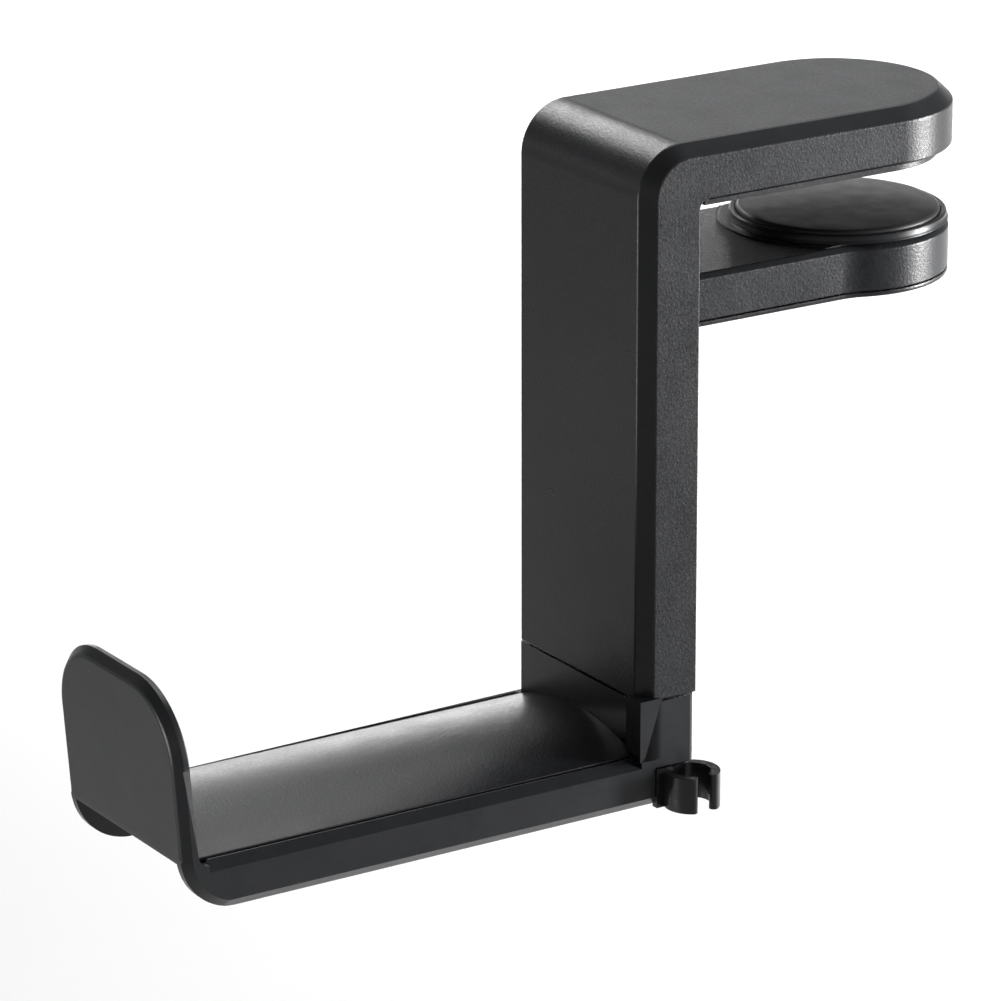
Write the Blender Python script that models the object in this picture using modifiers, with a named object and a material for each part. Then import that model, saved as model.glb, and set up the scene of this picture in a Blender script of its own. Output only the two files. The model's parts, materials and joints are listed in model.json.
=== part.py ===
"""Headphone hook with a desk clamp, as an assembly of separate pieces.

A flat column carries a fixed upper jaw. A hook turns under the column and drives the
lead screw inside it, and the screw's nut carries the lower jaw up and down the column.
+Z is up, the hook's arm points to -Y and the jaws to +Y. The origin is the middle of the
upper pad's lower face, which rests on the desk top. Lengths are in metres.
"""

import math

import bmesh
import bpy
from mathutils import Matrix, Vector

MM = 0.001
GAP = 0.3 * MM
RUNNING_GAP = 0.08 * MM
SCREW_FIT = 0.15 * MM
REACH = 1.0 * MM
MERGE = 0.00001

# Column and upper jaw
WIDTH = 40.0 * MM
COLUMN_DEPTH = 11.0 * MM
AXIS_Y = -47.0 * MM
TOP_Z = 10.5 * MM
SEAM_Z = -85.5 * MM
UNDERSIDE_Z = 0.7 * MM
CHAMFER = 2.35 * MM
CORNER_R = 8.8 * MM
REAR_R = 2.2 * MM
THROAT_R = 1.6 * MM
WALL = 2.4 * MM
FRONT_WALL = 2.2 * MM
FLOOR_WALL = 3.0 * MM
COVER = 2.0 * MM
PAD_MARGIN = 4.6 * MM
BAR = 2.4 * MM

# Hook
NECK_DEPTH = 10.7 * MM
NECK_REAR_R = 1.0 * MM
RAIL_BOTTOM_Z = -104.8 * MM
RAIL_TOP_Z = -96.2 * MM
RAIL_EDGE_Z = -95.7 * MM
RAIL_WIDTH = 3.0 * MM
RAIL_CHAMFER = 1.85 * MM
RAIL_TOP_CHAMFER = 1.6 * MM
PLATE_TOP_Z = -66.0 * MM
PLATE_FOOT = (-141.0 * MM, -95.9 * MM)
PLATE_LEAN = math.radians(4.5)
PLATE_THICK = 2.6 * MM
PLATE_CORNER_R = 13.0 * MM
HEEL_R = 10.8 * MM
TOE_R = 2.0 * MM
RIM = 1.5 * MM
SADDLE_R = 49.0 * MM
SADDLE_TOP_Z = -92.1 * MM
SADDLE_THICK = 2.2 * MM

# Lower jaw
JAW_TOP_Z = -13.1 * MM
JAW_BOTTOM_Z = -22.2 * MM
JAW_SPLIT_Z = -21.35 * MM
JAW_HALF = 17.0 * MM
HEAD_R = 19.1 * MM
HEAD_Y = 0.8 * MM
HEAD_BLEND = 12.0 * MM
PAD_R = 17.6 * MM
PAD_TOP_Z = -10.5 * MM
CARRIER_R = 18.7 * MM
TONGUE_HALF = 6.0 * MM
TONGUE_Z = (-20.5 * MM, -16.8 * MM)
JAW_TRAVEL = (-34.5 * MM, 9.75 * MM)

# Lead screw and its bearings
SCREW_R = 2.5 * MM
THREAD_DEPTH = 0.5 * MM
LEAD = 3.0 * MM
THREAD_Z = (-79.5 * MM, -1.0 * MM)
JOURNAL_R = 1.5 * MM
GROOVE_Z = (-81.55 * MM, -80.65 * MM)
GROOVE_R = 1.9 * MM
DRIVE_R = 2.4 * MM
DRIVE_Z = (-93.5 * MM, -87.2 * MM)

# Cable clip
CLIP_CENTRE = (21.9 * MM, -43.5 * MM)
CLIP_R = 4.85 * MM
CLIP_WALL = 1.6 * MM
CLIP_Z = (-104.9 * MM, -98.6 * MM)
CLIP_MOUTH = 2.6 * MM
CLIP_SEAT_X = 18.8 * MM

# Small screws
HEAD_R_SMALL = 1.7 * MM
HEAD_HIGH = 0.5 * MM
SHANK_R = 0.8 * MM
BOSS_R = 2.6 * MM

HALF = WIDTH / 2
FRONT_Y = AXIS_Y - COLUMN_DEPTH / 2
BACK_Y = AXIS_Y + COLUMN_DEPTH / 2
CAVITY_X = HALF - WALL
CAVITY_FRONT_Y = FRONT_Y + FRONT_WALL
COVER_FRONT_Y = BACK_Y - COVER
NECK_TOP_Z = SEAM_Z - GAP
NECK_BACK_Y = FRONT_Y + NECK_DEPTH
RAIL_INNER_X = HALF - RAIL_WIDTH
JAW_BACK_Y = BACK_Y + GAP

# Directions in which a flat outline is thickened
SIDE = Matrix(((0, 0, 1, 0), (1, 0, 0, 0), (0, 1, 0, 0), (0, 0, 0, 1)))
PLAN = Matrix.Identity(4)
FACE = Matrix(((1, 0, 0, 0), (0, 0, -1, 0), (0, 1, 0, 0), (0, 0, 0, 1)))

# Base colour, roughness and metallic value of each finish
FINISHES = {
    "satin_plastic": ((0.050, 0.052, 0.057), 0.42, 0.0),
    "gloss_plastic": ((0.018, 0.018, 0.020), 0.22, 0.0),
    "inner_plastic": ((0.090, 0.092, 0.098), 0.55, 0.0),
    "rubber": ((0.016, 0.016, 0.017), 0.62, 0.0),
    "steel": ((0.55, 0.55, 0.56), 0.32, 1.0),
    "dark_steel": ((0.045, 0.045, 0.048), 0.38, 1.0),
    "brass": ((0.72, 0.52, 0.24), 0.30, 1.0),
    "acetal": ((0.78, 0.77, 0.72), 0.45, 0.0),
}


def clear_scene():
    for thing in list(bpy.data.objects):
        bpy.data.objects.remove(thing, do_unlink=True)


def new_collection(name):
    collection = bpy.data.collections.new(name)
    bpy.context.scene.collection.children.link(collection)
    return collection


def finish_material(name, finish):
    colour, roughness, metallic = FINISHES[finish]
    material = bpy.data.materials.new(name + "_" + finish)
    material.use_nodes = True
    shader = material.node_tree.nodes["Principled BSDF"]
    shader.inputs["Base Color"].default_value = (*colour, 1.0)
    shader.inputs["Roughness"].default_value = roughness
    shader.inputs["Metallic"].default_value = metallic
    material.diffuse_color = (*colour, 1.0)
    return material


# ---- outlines ----


def arc(centre, radius, start, end, steps):
    """Points of an arc in a plane, with angles in degrees."""
    points = []
    for i in range(steps + 1):
        angle = math.radians(start + (end - start) * i / steps)
        points.append((centre[0] + radius * math.cos(angle), centre[1] + radius * math.sin(angle)))
    return points


def stadium(half, back, radius, steps=24):
    """Plan of a jaw: straight sides from back to y = 0, and a half-round end."""
    return [(-half, back), (half, back)] + arc((0.0, 0.0), radius, 0, 180, steps)


def jaw_outline(inset):
    """Plan of the lower jaw: a narrower neck that blends into a round head."""
    half = JAW_HALF - inset
    radius = HEAD_R - inset
    blend = HEAD_BLEND + inset
    blend_x = half + blend
    below_head = math.sqrt((radius + blend) ** 2 - blend_x**2)
    touch = -math.degrees(math.atan2(below_head, blend_x))
    back = JAW_BACK_Y + inset
    right = [(half, back)]
    right += arc((blend_x, HEAD_Y - below_head), blend, 180, 180 + touch, 4)
    head = arc((0.0, HEAD_Y), radius, touch, 180 - touch, 28)
    left = [(-x, y) for x, y in reversed(right)]
    return right + head[1:-1] + left


# ---- meshes and objects ----


def tidy(bm):
    bmesh.ops.remove_doubles(bm, verts=bm.verts, dist=MERGE)
    bmesh.ops.dissolve_limit(
        bm, angle_limit=math.radians(0.4), verts=bm.verts, edges=bm.edges, delimit={"NORMAL"}
    )
    bmesh.ops.recalc_face_normals(bm, faces=bm.faces)


def evaluated_mesh(thing):
    bpy.context.view_layer.update()
    depsgraph = bpy.context.evaluated_depsgraph_get()
    return bpy.data.meshes.new_from_object(thing.evaluated_get(depsgraph))


def thick_outline(points, low, high, turn):
    """A flat outline thickened from low to high, as a bmesh."""
    curve = bpy.data.curves.new("outline", "CURVE")
    curve.dimensions = "2D"
    curve.fill_mode = "BOTH"
    curve.extrude = (high - low) / 2
    spline = curve.splines.new("POLY")
    spline.points.add(len(points) - 1)
    for point, (u, v) in zip(spline.points, points):
        point.co = (u, v, 0.0, 1.0)
    spline.use_cyclic_u = True
    holder = bpy.data.objects.new("outline", curve)
    bpy.context.scene.collection.objects.link(holder)
    mesh = evaluated_mesh(holder)
    bpy.data.objects.remove(holder)
    bpy.data.curves.remove(curve)
    bm = bmesh.new()
    bm.from_mesh(mesh)
    bpy.data.meshes.remove(mesh)
    middle = (high + low) / 2
    if turn == FACE:
        middle = -middle
    bm.transform(turn @ Matrix.Translation((0.0, 0.0, middle)))
    tidy(bm)
    return bm


def box(low, high):
    bm = bmesh.new()
    low, high = Vector(low), Vector(high)
    size = high - low
    place = Matrix.Translation((low + high) / 2) @ Matrix.Diagonal((*size, 1.0))
    bmesh.ops.create_cube(bm, size=1.0, matrix=place)
    return bm


def rod(radius, start, end, steps=20, end_radius=None):
    """A round bar, or a cone, from start to end."""
    start, end = Vector(start), Vector(end)
    along = end - start
    turn = along.to_track_quat("Z", "Y").to_matrix().to_4x4()
    bm = bmesh.new()
    bmesh.ops.create_cone(
        bm,
        cap_ends=True,
        segments=steps,
        radius1=radius,
        radius2=radius if end_radius is None else end_radius,
        depth=along.length,
        matrix=Matrix.Translation((start + end) / 2) @ turn,
    )
    return bm


def corner_wedge(corner, inward, size, start, end, turn):
    """Prism that takes a 45 degree corner off an edge; inward gives the signs that point into the solid."""
    u, v = corner
    to_u, to_v = inward
    outline = [
        (u + to_u * (size + REACH), v - to_v * REACH),
        (u - to_u * REACH, v + to_v * (size + REACH)),
        (u - to_u * REACH, v - to_v * REACH),
    ]
    return thick_outline(outline, start, end, turn)


def together(shapes):
    """One bmesh that holds several shapes, side by side."""
    mesh = bpy.data.meshes.new("together")
    bm = bmesh.new()
    for shape in shapes:
        shape.to_mesh(mesh)
        bm.from_mesh(mesh)
        shape.free()
    bpy.data.meshes.remove(mesh)
    return bm


def mirrored(shape):
    """The shape and its mirror image across x = 0."""
    mesh = bpy.data.meshes.new("mirrored")
    shape.to_mesh(mesh)
    mesh.transform(Matrix.Scale(-1.0, 4, Vector((1, 0, 0))))
    mesh.flip_normals()
    shape.from_mesh(mesh)
    bpy.data.meshes.remove(mesh)
    return shape


def soften(bm, pick, width, segments=1):
    """Bevels the edges that pick accepts."""
    edges = [edge for edge in bm.edges if edge.is_manifold and edge.calc_face_angle() > 0.01 and pick(edge)]
    bmesh.ops.bevel(
        bm, geom=edges, offset=width, offset_type="OFFSET", segments=segments, profile=0.5, affect="EDGES"
    )


def along(edge, test):
    """True if both ends of an edge and its middle pass a test on their position."""
    a, b = edge.verts[0].co, edge.verts[1].co
    return test(a) and test(b) and test((a + b) / 2)


class Assembly:
    """Makes the named pieces and keeps the cutters apart from them."""

    def __init__(self, name):
        self.parts = new_collection(name)
        self.cutters = new_collection(name + "_cutters")
        self.carrier = None

    def under(self, name, place):
        """Starts a moving group: an empty on the joint's axis that carries the pieces made next."""
        self.carrier = bpy.data.objects.new(name, None)
        self.carrier.location = place
        self.carrier.empty_display_size = 10 * MM
        self.parts.objects.link(self.carrier)

    def mesh_object(self, name, bm, collection):
        mesh = bpy.data.meshes.new(name)
        bm.to_mesh(mesh)
        bm.free()
        thing = bpy.data.objects.new(name, mesh)
        collection.objects.link(thing)
        return thing

    def part(self, name, finish, bm, smooth=40):
        thing = self.mesh_object(name, bm, self.parts)
        thing.data.materials.append(finish_material(name, finish))
        thing.data.shade_smooth()
        thing.data.set_sharp_from_angle(angle=math.radians(smooth))
        if self.carrier is not None:
            thing.parent = self.carrier
            thing.matrix_parent_inverse = Matrix.Translation(self.carrier.location).inverted()
        return thing

    def boolean(self, thing, operation, bm):
        cutter = self.mesh_object(thing.name + "_" + operation.lower(), bm, self.cutters)
        cutter.hide_render = True
        cutter.display_type = "WIRE"
        modifier = thing.modifiers.new(operation.capitalize(), "BOOLEAN")
        modifier.operation = operation
        modifier.solver = "EXACT"
        modifier.object = cutter

    def cut(self, thing, *shapes):
        self.boolean(thing, "DIFFERENCE", together(shapes))

    def join(self, thing, *shapes):
        self.boolean(thing, "UNION", together(shapes))

    def common(self, first, second):
        """The space that two shapes share, as a bmesh."""
        thing = self.mesh_object("common", first, self.cutters)
        self.boolean(thing, "INTERSECT", second)
        cutter = thing.modifiers[0].object
        mesh = evaluated_mesh(thing)
        bpy.data.objects.remove(thing)
        bpy.data.objects.remove(cutter)
        bm = bmesh.new()
        bm.from_mesh(mesh)
        bpy.data.meshes.remove(mesh)
        tidy(bm)
        return bm

    def turned(self, name, finish, centre, profile, steps=24):
        """A piece turned about an upright axis: profile is (radius, height), down the outer side."""
        bm = bmesh.new()
        points = [bm.verts.new((radius, 0.0, height)) for radius, height in profile]
        for a, b in zip(points, points[1:]):
            bm.edges.new((a, b))
        if profile[0][0] > MERGE:
            bm.edges.new((points[-1], points[0]))
        thing = self.part(name, finish, bm)
        thing.matrix_basis = Matrix.Translation((*centre, 0.0))
        spin = thing.modifiers.new("Turned", "SCREW")
        spin.steps = steps
        spin.render_steps = steps
        spin.use_merge_vertices = True
        spin.merge_threshold = MERGE
        spin.use_smooth_shade = True
        return thing


# ---- screws and washers ----


def small_screw(assembly, name, seat, tip):
    """A pan-head screw whose head's outer face is at seat and whose point is at tip."""
    seat, tip = Vector(seat), Vector(tip)
    inward = (tip - seat).normalized()
    under_head = seat + inward * HEAD_HIGH
    thing = assembly.part(name, "dark_steel", rod(HEAD_R_SMALL, seat, under_head))
    assembly.join(thing, rod(SHANK_R, under_head - inward * HEAD_HIGH / 2, tip, 12))
    return thing


def screw_hole(outer, inner):
    """Counterbore and clearance hole for a small screw, from the outer face inward."""
    outer, inner = Vector(outer), Vector(inner)
    inward = (inner - outer).normalized()
    bore = rod(HEAD_R_SMALL + GAP, outer - inward * REACH, outer + inward * (HEAD_HIGH + 2 * GAP))
    hole = rod(SHANK_R + GAP, outer - inward * REACH / 2, inner, 12)
    return bore, hole


def washer(assembly, name, finish, inner, outer, low, high, steps=24):
    ring = [(outer, high), (outer, low), (inner, low), (inner, high)]
    return assembly.turned(name, finish, (0.0, AXIS_Y), ring, steps)


# ---- column ----

REAR_SCREWS = [(x, z) for z in (-7.0 * MM, -78.0 * MM) for x in (-14.2 * MM, 14.2 * MM)]
JAW_COVER_SCREWS = [(-10.0 * MM, -26.0 * MM), (10.0 * MM, -26.0 * MM), (0.0, 9.0 * MM)]
BEARING_Z = (0.5 * MM, 5.0 * MM)
BEARING_R = 2.35 * MM
LOWER_HOLE_R = 3.2 * MM
CEILING_Z = TOP_Z - FRONT_WALL
BAR_TOP_Z = UNDERSIDE_Z + COVER + 0.2 * MM
BAR_FRONT_Y = COVER_FRONT_Y - 0.4 * MM
JAW_COVER_BACK_Y = BACK_Y + BAR
FLOOR_Z = SEAM_Z + FLOOR_WALL
BACK_OPENING_TOP_Z = -2.0 * MM
GUIDE_X = (8.7 * MM, 9.9 * MM)
GUIDE_Z = (-64.0 * MM, -10.5 * MM)
BEARING_HALF = 5.0 * MM


def column_body(assembly):
    """The upright and the upper jaw as one solid, before it is hollowed."""
    tip = HALF + REACH
    side = [(BACK_Y, SEAM_Z), (FRONT_Y, SEAM_Z)]
    side += arc((FRONT_Y + CORNER_R, TOP_Z - CORNER_R), CORNER_R, 180, 90, 10)
    side += [(tip, TOP_Z), (tip, UNDERSIDE_Z)]
    side += arc((BACK_Y + THROAT_R, UNDERSIDE_Z - THROAT_R), THROAT_R, 90, 180, 4)
    profile = thick_outline(side, -HALF, HALF, SIDE)
    plan = thick_outline(stadium(HALF, FRONT_Y - REACH, HALF), SEAM_Z - REACH, TOP_Z + REACH, PLAN)
    bm = assembly.common(profile, plan)

    def on_rim(point):
        round_end = point.y > 0 and math.hypot(point.x, point.y) > HALF * 0.99
        return round_end or abs(abs(point.x) - HALF) < MERGE

    def outer_face(point):
        corner = math.hypot(point.y - FRONT_Y - CORNER_R, point.z - TOP_Z + CORNER_R)
        on_corner = corner > CORNER_R * 0.98 and point.z > TOP_Z - CORNER_R and point.y < FRONT_Y + CORNER_R
        return point.y < FRONT_Y + MERGE or point.z > TOP_Z - MERGE or on_corner

    def rear_corner(point):
        return abs(point.y - BACK_Y) < MERGE and on_rim(point) and point.z < -THROAT_R

    def lower_rim(point):
        return on_rim(point) and abs(point.z - UNDERSIDE_Z) < MERGE and point.y > BACK_Y + THROAT_R

    def same_side(edge):
        return edge.verts[0].co.x * edge.verts[1].co.x > -MERGE * MERGE

    soften(bm, lambda e: same_side(e) and along(e, on_rim) and along(e, outer_face), CHAMFER)
    soften(bm, lambda e: same_side(e) and along(e, rear_corner), REAR_R, 3)
    soften(bm, lambda e: same_side(e) and along(e, lower_rim), 0.4 * MM)
    return bm


def column_shell(assembly):
    shell = assembly.part("column_shell", "satin_plastic", column_body(assembly), 30)
    back = BACK_Y + REACH
    assembly.cut(
        shell,
        box((-CAVITY_X, CAVITY_FRONT_Y, FLOOR_Z), (CAVITY_X, back, BACK_OPENING_TOP_Z)),
    )
    bend = [(CAVITY_FRONT_Y, -3 * REACH)]
    corner = (FRONT_Y + CORNER_R, TOP_Z - CORNER_R)
    bend += arc(corner, CORNER_R - FRONT_WALL, 180, 96, 9)
    bend += [(BAR_FRONT_Y, -3 * REACH)]
    assembly.cut(shell, thick_outline(bend, -CAVITY_X, CAVITY_X, SIDE))
    assembly.cut(
        shell,
        thick_outline(stadium(CAVITY_X, BAR_FRONT_Y - GAP, CAVITY_X), BAR_TOP_Z, CEILING_Z, PLAN),
    )
    assembly.cut(
        shell,
        thick_outline(stadium(CAVITY_X, JAW_COVER_BACK_Y, CAVITY_X), -REACH, BAR_TOP_Z + GAP, PLAN),
    )
    additions = []
    for x, z in REAR_SCREWS:
        additions.append(rod(BOSS_R, (x, CAVITY_FRONT_Y - REACH, z), (x, COVER_FRONT_Y - GAP, z)))
    for x, y in JAW_COVER_SCREWS:
        additions.append(rod(BOSS_R, (x, y, CEILING_Z + REACH), (x, y, BAR_TOP_Z + GAP)))
    guide_low = (GUIDE_X[0], CAVITY_FRONT_Y - REACH, GUIDE_Z[0])
    guide = box(guide_low, (GUIDE_X[1], COVER_FRONT_Y - GAP, GUIDE_Z[1]))
    additions.append(mirrored(guide))
    bearing_low = (-BEARING_HALF, CAVITY_FRONT_Y - REACH, BEARING_Z[0])
    additions.append(box(bearing_low, (BEARING_HALF, COVER_FRONT_Y + REACH, BEARING_Z[1])))
    assembly.join(shell, *additions)
    holes = [rod(LOWER_HOLE_R, (0, AXIS_Y, SEAM_Z - REACH), (0, AXIS_Y, FLOOR_Z + REACH), 24)]
    holes.append(rod(BEARING_R, (0, AXIS_Y, -REACH), (0, AXIS_Y, BEARING_Z[1] + REACH), 24))
    for x, z in REAR_SCREWS:
        hole_end = (x, COVER_FRONT_Y + REACH, z)
        holes.append(rod(SHANK_R + SCREW_FIT, (x, CAVITY_FRONT_Y + REACH, z), hole_end, 12))
    for x, y in JAW_COVER_SCREWS:
        holes.append(rod(SHANK_R + SCREW_FIT, (x, y, BAR_TOP_Z - REACH), (x, y, CEILING_Z - REACH / 2), 12))
    assembly.cut(shell, *holes)


def rear_cover(assembly):
    """Plate that closes the column's back, with the slot for the jaw's tongue."""
    edge = CAVITY_X - GAP
    low, high = FLOOR_Z + GAP, BACK_OPENING_TOP_Z - GAP
    cover = assembly.part(
        "rear_cover", "satin_plastic", box((-edge, COVER_FRONT_Y, low), (edge, BACK_Y, high))
    )
    slot_low = TONGUE_Z[0] + JAW_TRAVEL[0] - 2 * GAP
    slot_high = TONGUE_Z[1] + JAW_TRAVEL[1] + 2 * GAP
    slot_x = TONGUE_HALF + GAP
    assembly.cut(
        cover, box((-slot_x, COVER_FRONT_Y - REACH, slot_low), (slot_x, BACK_Y + REACH, slot_high))
    )
    bores, holes = [], []
    for i, (x, z) in enumerate(REAR_SCREWS):
        bore, hole = screw_hole((x, BACK_Y, z), (x, COVER_FRONT_Y - REACH, z))
        bores.append(bore)
        holes.append(hole)
        seat = (x, BACK_Y - 0.1 * MM, z)
        small_screw(assembly, f"rear_cover_screw_{i + 1}", seat, (x, CAVITY_FRONT_Y + 2 * REACH, z))
    assembly.cut(cover, *bores)
    assembly.cut(cover, *holes)


def upper_jaw_cover(assembly):
    edge = CAVITY_X - GAP
    outline = stadium(edge, JAW_COVER_BACK_Y + GAP, edge)
    cover = assembly.part(
        "upper_jaw_cover", "satin_plastic", thick_outline(outline, UNDERSIDE_Z, UNDERSIDE_Z + COVER, PLAN)
    )
    recess = HALF - PAD_MARGIN + GAP
    recess_back = JAW_COVER_BACK_Y + PAD_MARGIN - WALL - GAP
    recess_top = UNDERSIDE_Z + 0.6 * MM
    assembly.cut(cover, thick_outline(stadium(recess, recess_back, recess), 0.0, recess_top, PLAN))
    bores, holes = [], []
    for i, (x, y) in enumerate(JAW_COVER_SCREWS):
        bores.append(rod(HEAD_R_SMALL + GAP, (x, y, 0.0), (x, y, recess_top + HEAD_HIGH + GAP / 2)))
        holes.append(rod(SHANK_R + GAP, (x, y, REACH), (x, y, UNDERSIDE_Z + COVER + REACH), 12))
        small_screw(assembly, f"upper_jaw_screw_{i + 1}", (x, y, recess_top), (x, y, CEILING_Z - 2 * REACH))
    assembly.cut(cover, *bores)
    assembly.cut(cover, *holes)
    pad = recess - GAP
    outline = stadium(pad, recess_back + GAP, pad)
    bm = thick_outline(outline, 0.0, recess_top - GAP, PLAN)
    soften(bm, lambda e: along(e, lambda p: p.z < MERGE), 0.25 * MM)
    assembly.part("upper_pad", "rubber", bm)


def screw_bearings(assembly):
    low, high = BEARING_Z[0] + 0.1 * MM, BEARING_Z[1] - 0.4 * MM
    washer(assembly, "upper_bush", "acetal", JOURNAL_R + RUNNING_GAP, BEARING_R - RUNNING_GAP, low, high)
    inner, outer = SCREW_R + RUNNING_GAP, LOWER_HOLE_R - RUNNING_GAP
    washer(assembly, "lower_bush", "acetal", inner, outer, SEAM_Z + 0.1 * MM, FLOOR_Z - 0.1 * MM)
    washer_low = FLOOR_Z + GAP
    washer_high = GROOVE_Z[0] - 0.1 * MM
    washer(assembly, "thrust_washer", "steel", inner, outer, washer_low, washer_high)


# ---- hook ----


def plate_line(offset):
    """Point and direction of the end plate's face, offset inward from its outer face."""
    direction = Vector((-math.sin(PLATE_LEAN), math.cos(PLATE_LEAN)))
    inward = Vector((math.cos(PLATE_LEAN), math.sin(PLATE_LEAN)))
    return Vector(PLATE_FOOT) + inward * offset, direction


def plate_point(offset, z):
    foot, direction = plate_line(offset)
    return (foot.x + direction.x * (z - foot.y) / direction.y, z)


def toe_centre():
    """Centre of the fillet between the end plate and the rails."""
    return plate_point(PLATE_THICK + TOE_R, RAIL_TOP_Z + TOE_R)


def hook_outline():
    """Side view of the hook: neck, rail, rounded heel and leaning end plate."""
    lean = math.degrees(PLATE_LEAN)
    toe = toe_centre()
    heel = plate_point(HEEL_R, RAIL_BOTTOM_Z + HEEL_R)
    side = [(NECK_BACK_Y, NECK_TOP_Z), (FRONT_Y, NECK_TOP_Z), (FRONT_Y, RAIL_TOP_Z)]
    side += arc(toe, TOE_R, 270, 180 + lean, 4)
    side += [plate_point(PLATE_THICK, PLATE_TOP_Z), plate_point(0.0, PLATE_TOP_Z)]
    side += arc(heel, HEEL_R, 180 + lean, 270, 8)
    side += [(NECK_BACK_Y, RAIL_BOTTOM_Z)]
    return side


def hook_body(assembly):
    """The hook as a solid of its full width, with its outer edges softened."""
    profile = thick_outline(hook_outline(), -HALF, HALF, SIDE)
    low_z = RAIL_BOTTOM_Z - REACH
    corner_x, corner_z = HALF - PLATE_CORNER_R, PLATE_TOP_Z - PLATE_CORNER_R
    front = [(-HALF, low_z), (HALF, low_z)]
    front += arc((corner_x, corner_z), PLATE_CORNER_R, 0, 90, 8)
    front += arc((-corner_x, corner_z), PLATE_CORNER_R, 90, 180, 8)
    view = thick_outline(front, plate_point(0.0, PLATE_TOP_Z)[0] - REACH, NECK_BACK_Y + REACH, FACE)
    bm = assembly.common(profile, view)

    def on_side(point):
        return abs(abs(point.x) - HALF) < MERGE

    def outer_plate(point):
        return abs(point.y - plate_point(0.0, point.z)[0]) < MERGE

    def under(point):
        heel = plate_point(HEEL_R, RAIL_BOTTOM_Z + HEEL_R)
        away = math.hypot(point.y - heel[0], point.z - heel[1])
        on_heel = point.y < heel[0] and point.z < heel[1] and abs(away - HEEL_R) < 0.1 * MM
        return on_heel or point.z < RAIL_BOTTOM_Z + MERGE

    def rim(edge):
        same = edge.verts[0].co.x * edge.verts[1].co.x > 0
        sides = same and along(edge, on_side) and along(edge, lambda p: outer_plate(p) or under(p))
        crown = along(edge, outer_plate) and along(edge, lambda p: p.z > corner_z - MERGE)
        return sides or crown

    def neck_rear(point):
        return on_side(point) and abs(point.y - NECK_BACK_Y) < MERGE

    soften(bm, rim, RIM)
    soften(bm, lambda e: along(e, neck_rear), NECK_REAR_R, 3)
    return bm


def saddle():
    """The arch over the rails: a bent plate that ends at the chamfers of their upper edges."""
    centre = (0.0, SADDLE_TOP_Z - SADDLE_R)
    reach_x = HALF - REACH
    spread = math.degrees(math.asin(reach_x / SADDLE_R))
    outline = arc(centre, SADDLE_R, 90 - spread, 90 + spread, 14)
    outline += arc(centre, SADDLE_R - SADDLE_THICK, 90 + spread, 90 - spread, 14)
    plate_end = plate_point(PLATE_THICK / 2, SADDLE_TOP_Z)[0]
    return thick_outline(outline, plate_end, FRONT_Y + REACH, FACE)


POCKET_X = 16.2 * MM
POCKET_Y = (-50.1 * MM, -44.1 * MM)
POCKET_TOP_Z = -96.5 * MM
SIDE_POCKET_TOP_Z = -88.6 * MM
HUB_HALF = 6.0 * MM
SEAM_WASHER_R = 4.3 * MM
HUB_WASHER = 0.6 * MM
HUB_SCREW_R = 0.85 * MM
STOUT_HEAD_R = 2.2 * MM
CLIP_SEAT_Y = -49.7 * MM
CLIP_PEG = (-48.5 * MM, -101.0 * MM)
CLIP_PEG_R = 0.8 * MM
CLIP_PEG_TIP_X = 16.6 * MM


def hook_frame(assembly):
    frame = assembly.part("hook_frame", "satin_plastic", hook_body(assembly), 30)
    front = plate_point(0.0, PLATE_TOP_Z)[0] - REACH
    assembly.cut(
        frame,
        box((-RAIL_INNER_X, front, RAIL_BOTTOM_Z - REACH), (RAIL_INNER_X, FRONT_Y, PLATE_FOOT[1])),
    )
    neck_edge = corner_wedge((HALF, FRONT_Y), (-1, 1), CHAMFER, RAIL_TOP_Z, NECK_TOP_Z + REACH, PLAN)
    assembly.cut(frame, mirrored(neck_edge))
    rail_end = NECK_BACK_Y + REACH
    rail_edge = corner_wedge((HALF, RAIL_BOTTOM_Z), (-1, 1), RAIL_CHAMFER, front, rail_end, FACE)
    assembly.cut(frame, mirrored(rail_edge))
    assembly.join(frame, saddle())
    top_corner = (HALF, RAIL_EDGE_Z)
    top_edge = corner_wedge(top_corner, (-1, -1), RAIL_TOP_CHAMFER, toe_centre()[0], FRONT_Y, FACE)
    assembly.cut(frame, mirrored(top_edge))
    below = RAIL_BOTTOM_Z - REACH
    hub_low = POCKET_TOP_Z - REACH
    washer_seat = rod(SEAM_WASHER_R + GAP, (0, AXIS_Y, NECK_TOP_Z - REACH), (0, AXIS_Y, SEAM_Z + REACH), 24)
    assembly.cut(frame, washer_seat)
    assembly.cut(frame, rod(SCREW_R + 0.12 * MM, (0, AXIS_Y, DRIVE_Z[1] - GAP), (0, AXIS_Y, SEAM_Z), 24))
    assembly.cut(frame, rod(DRIVE_R + 0.12 * MM, (0, AXIS_Y, hub_low), (0, AXIS_Y, DRIVE_Z[1]), 6))
    assembly.cut(frame, box((-POCKET_X, POCKET_Y[0], below), (POCKET_X, POCKET_Y[1], POCKET_TOP_Z)))
    side_pocket = box((HUB_HALF, POCKET_Y[0], hub_low), (POCKET_X, POCKET_Y[1], SIDE_POCKET_TOP_Z))
    assembly.cut(frame, mirrored(side_pocket))
    notch_top = CLIP_Z[1] + GAP
    assembly.cut(frame, rod(CLIP_R + GAP, (*CLIP_CENTRE, below), (*CLIP_CENTRE, notch_top), 32))
    peg_hole_end = (CLIP_SEAT_X + REACH / 2, *CLIP_PEG)
    assembly.cut(frame, rod(CLIP_PEG_R + 0.2 * MM, (POCKET_X - REACH, *CLIP_PEG), peg_hole_end, 16))
    seat_top = CLIP_Z[1] + REACH
    assembly.cut(
        frame, box((CLIP_SEAT_X, CLIP_SEAT_Y, below), (HALF + REACH, NECK_BACK_Y + REACH, seat_top))
    )


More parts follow.
